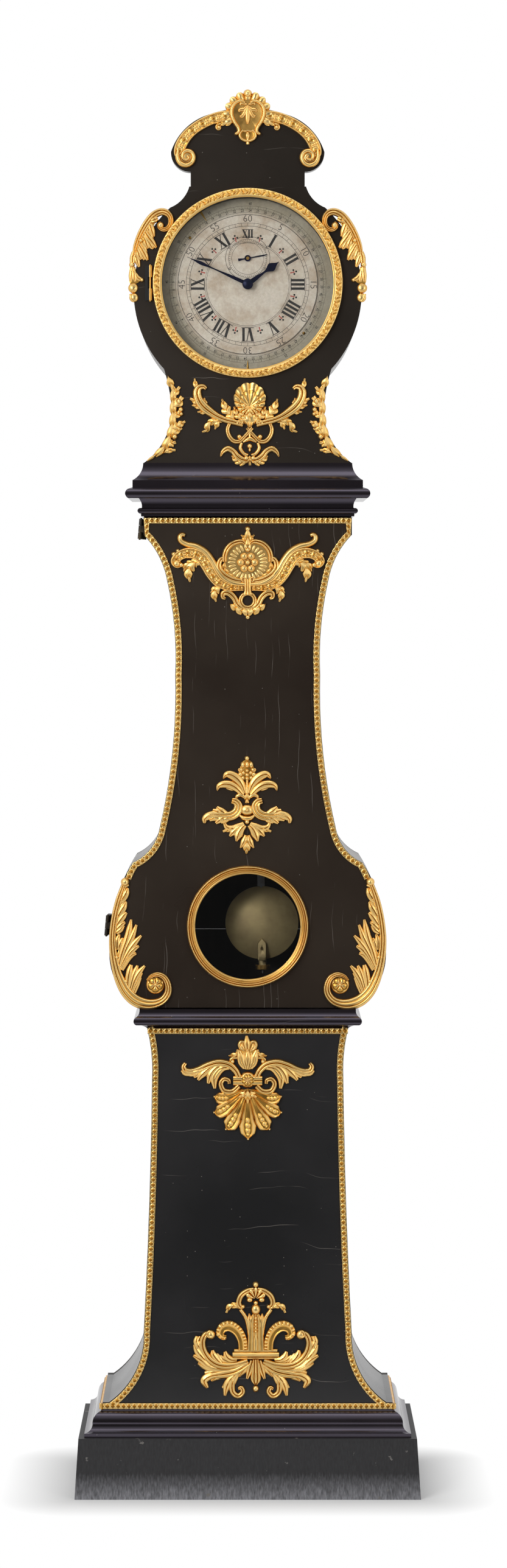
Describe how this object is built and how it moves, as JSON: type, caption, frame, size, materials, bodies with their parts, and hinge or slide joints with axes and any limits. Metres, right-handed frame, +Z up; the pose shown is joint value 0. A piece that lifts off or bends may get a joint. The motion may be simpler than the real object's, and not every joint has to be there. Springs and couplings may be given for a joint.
{
  "type": "floor regulator clock",
  "caption": "Tall black waisted case with gilt mounts, a silvered dial under a hinged glass bezel, a weight-driven movement and a swinging seconds pendulum behind a round window.",
  "frame": {"origin": "on the floor under the middle of the plinth", "axes": "+Z up, the dial faces -Y, +X to the right as seen from the front"},
  "size_m": [0.513, 0.27, 2.0905],
  "materials": {
    "ebonised_wood": "glossy ebonised varnish with fine cracks",
    "worn_plinth_wood": "dull, worn black paint",
    "inner_wood": "plain unfinished wood",
    "gilt_bronze": "gilt cast bronze, burnished on the raised parts",
    "brass": "polished brass",
    "steel": "polished steel",
    "silvered_metal": "silvered, fine grained",
    "blued_steel": "blued steel",
    "clear_glass": "clear",
    "gut_line": "twisted gut"
  },
  "bodies": {
    "case": {"plinth_boards": "worn_plinth_wood", "plinth_moulding": "ebonised_wood", "base_front_panel": "ebonised_wood", "base_sides": "ebonised_wood", "base_back_board": "inner_wood", "base_floor_board": "inner_wood", "base_gilt_border": "gilt_bronze", "waist_moulding": "ebonised_wood", "trunk_sides": "ebonised_wood", "trunk_back_board": "inner_wood", "trunk_cornice": "ebonised_wood", "movement_seat": "inner_wood", "hood_moulding": "ebonised_wood", "hood_front": "ebonised_wood", "hood_shell_boards": "ebonised_wood", "hood_back_board": "inner_wood", "hood_pediment": "ebonised_wood", "door_hinge_case_leaves": "brass", "door_hinge_pins": "steel", "bezel_hinge": "brass", "dial_plate": "silvered_metal", "movement_front_plate": "brass", "movement_back_plate": "brass", "suspension_bracket": "brass", "weight_line": "gut_line", "pediment_mount": "gilt_bronze", "hood_shoulder_mounts": "gilt_bronze", "hood_corner_mounts": "gilt_bronze", "hood_centre_mount": "gilt_bronze", "base_upper_mount": "gilt_bronze", "base_lower_mount": "gilt_bronze"},
    "trunk_door": {"trunk_door": "ebonised_wood", "door_gilt_border": "gilt_bronze", "door_upper_mount": "gilt_bronze", "door_centre_mount": "gilt_bronze", "door_corner_mounts": "gilt_bronze", "window_bezel": "gilt_bronze", "window_glass": "clear_glass", "door_hinge_door_leaves": "brass"},
    "dial_door": {"dial_bezel": "gilt_bronze", "dial_glass": "clear_glass"},
    "calendar_ring": {"calendar_ring": "silvered_metal"},
    "minute_hand": {"minute_hand": "blued_steel", "cannon_pinion": "brass"},
    "minute_wheel": {"minute_wheel": "brass"},
    "hour_hand": {"hour_hand": "blued_steel", "hour_wheel": "brass"},
    "centre_wheel": {"centre_wheel": "brass"},
    "great_wheel": {"great_wheel": "brass"},
    "third_wheel": {"third_wheel": "brass"},
    "escape_wheel": {"escape_wheel": "brass", "seconds_hand": "blued_steel"},
    "winding_barrel": {"winding_barrel": "brass"},
    "drive_weight": {"drive_weight": "brass"},
    "weight_pulley": {"weight_pulley": "brass"},
    "pallet_anchor": {"pallet_anchor": "steel"},
    "pendulum": {"knife_edge": "steel", "pendulum_rod": "brass", "pendulum_bob": "brass"},
    "rating_nut": {"rating_nut": "brass"}
  },
  "joints": [
    {"name": "trunk_door_hinge", "type": "hinge", "parent": "case", "child": "trunk_door", "pos_m": [-0.2097, -0.089, 0.8465], "axis": [-0.0837, 0, -0.9965], "range_deg": [0, 110]},
    {"name": "dial_door_hinge", "type": "hinge", "parent": "case", "child": "dial_door", "pos_m": [-0.1453, -0.099, 1.804], "axis": [0, 0, -1], "range_deg": [0, 100]},
    {"name": "calendar_ring_turn", "type": "hinge", "parent": "case", "child": "calendar_ring", "pos_m": [0, -0.0668, 1.804], "axis": [0, 1, 0], "continuous": true},
    {"name": "minute_hand_turn", "type": "hinge", "parent": "case", "child": "minute_hand", "pos_m": [0, -0.06, 1.804], "axis": [0, 1, 0], "continuous": true},
    {"name": "minute_wheel_turn", "type": "hinge", "parent": "case", "child": "minute_wheel", "pos_m": [0.021, -0.046, 1.804], "axis": [0, 1, 0], "continuous": true},
    {"name": "hour_hand_turn", "type": "hinge", "parent": "case", "child": "hour_hand", "pos_m": [0, -0.06, 1.804], "axis": [0, 1, 0], "continuous": true},
    {"name": "centre_wheel_turn", "type": "hinge", "parent": "case", "child": "centre_wheel", "pos_m": [0, -0.02, 1.804], "axis": [0, 1, 0], "continuous": true},
    {"name": "great_wheel_turn", "type": "hinge", "parent": "case", "child": "great_wheel", "pos_m": [0, -0.0335, 1.7578], "axis": [0, 1, 0], "continuous": true},
    {"name": "third_wheel_turn", "type": "hinge", "parent": "case", "child": "third_wheel", "pos_m": [0.02054, -0.0194, 1.82788], "axis": [0, 1, 0], "continuous": true},
    {"name": "escape_wheel_turn", "type": "hinge", "parent": "case", "child": "escape_wheel", "pos_m": [0, -0.015, 1.843], "axis": [0, 1, 0], "continuous": true},
    {"name": "weight_drop", "type": "slide", "parent": "case", "child": "drive_weight", "axis": [0, 0, 1], "range_m": [-0.7, 0], "deforming": ["weight_line"]},
    {"name": "winding_barrel_turn", "type": "hinge", "parent": "case", "child": "winding_barrel", "pos_m": [0, -0.0232, 1.7578], "axis": [0, 1, 0], "range_deg": [0, 3600]},
    {"name": "weight_pulley_turn", "type": "hinge", "parent": "drive_weight", "child": "weight_pulley", "pos_m": [0.006, -0.0232, 1.211], "axis": [0, 1, 0], "range_deg": [0, 2400]},
    {"name": "pendulum_swing", "type": "hinge", "parent": "case", "child": "pendulum", "pos_m": [0, 0.0358, 1.8713], "axis": [0, 1, 0], "range_deg": [-0.8, 3.2]},
    {"name": "pallet_anchor_swing", "type": "hinge", "parent": "case", "child": "pallet_anchor", "pos_m": [0, 0.0358, 1.8713], "axis": [0, 1, 0], "range_deg": [-0.8, 3.2]},
    {"name": "rating_nut_turn", "type": "hinge", "parent": "pendulum", "child": "rating_nut", "pos_m": [0.023, 0.0358, 0.7732], "axis": [-0.0209, 0, 0.9998], "continuous": true}
  ],
  "couplings": [
    {"joint": "minute_wheel_turn", "follows": "minute_hand_turn", "ratio": -0.5},
    {"joint": "hour_hand_turn", "follows": "minute_hand_turn", "ratio": 0.083333},
    {"joint": "great_wheel_turn", "follows": "centre_wheel_turn", "ratio": -0.16667},
    {"joint": "third_wheel_turn", "follows": "centre_wheel_turn", "ratio": -8},
    {"joint": "escape_wheel_turn", "follows": "centre_wheel_turn", "ratio": 60},
    {"joint": "winding_barrel_turn", "follows": "weight_drop", "rad_per_m": -87.527},
    {"joint": "weight_pulley_turn", "follows": "weight_drop", "rad_per_m": -59.347},
    {"joint": "pallet_anchor_swing", "follows": "pendulum_swing", "ratio": 1}
  ]
}
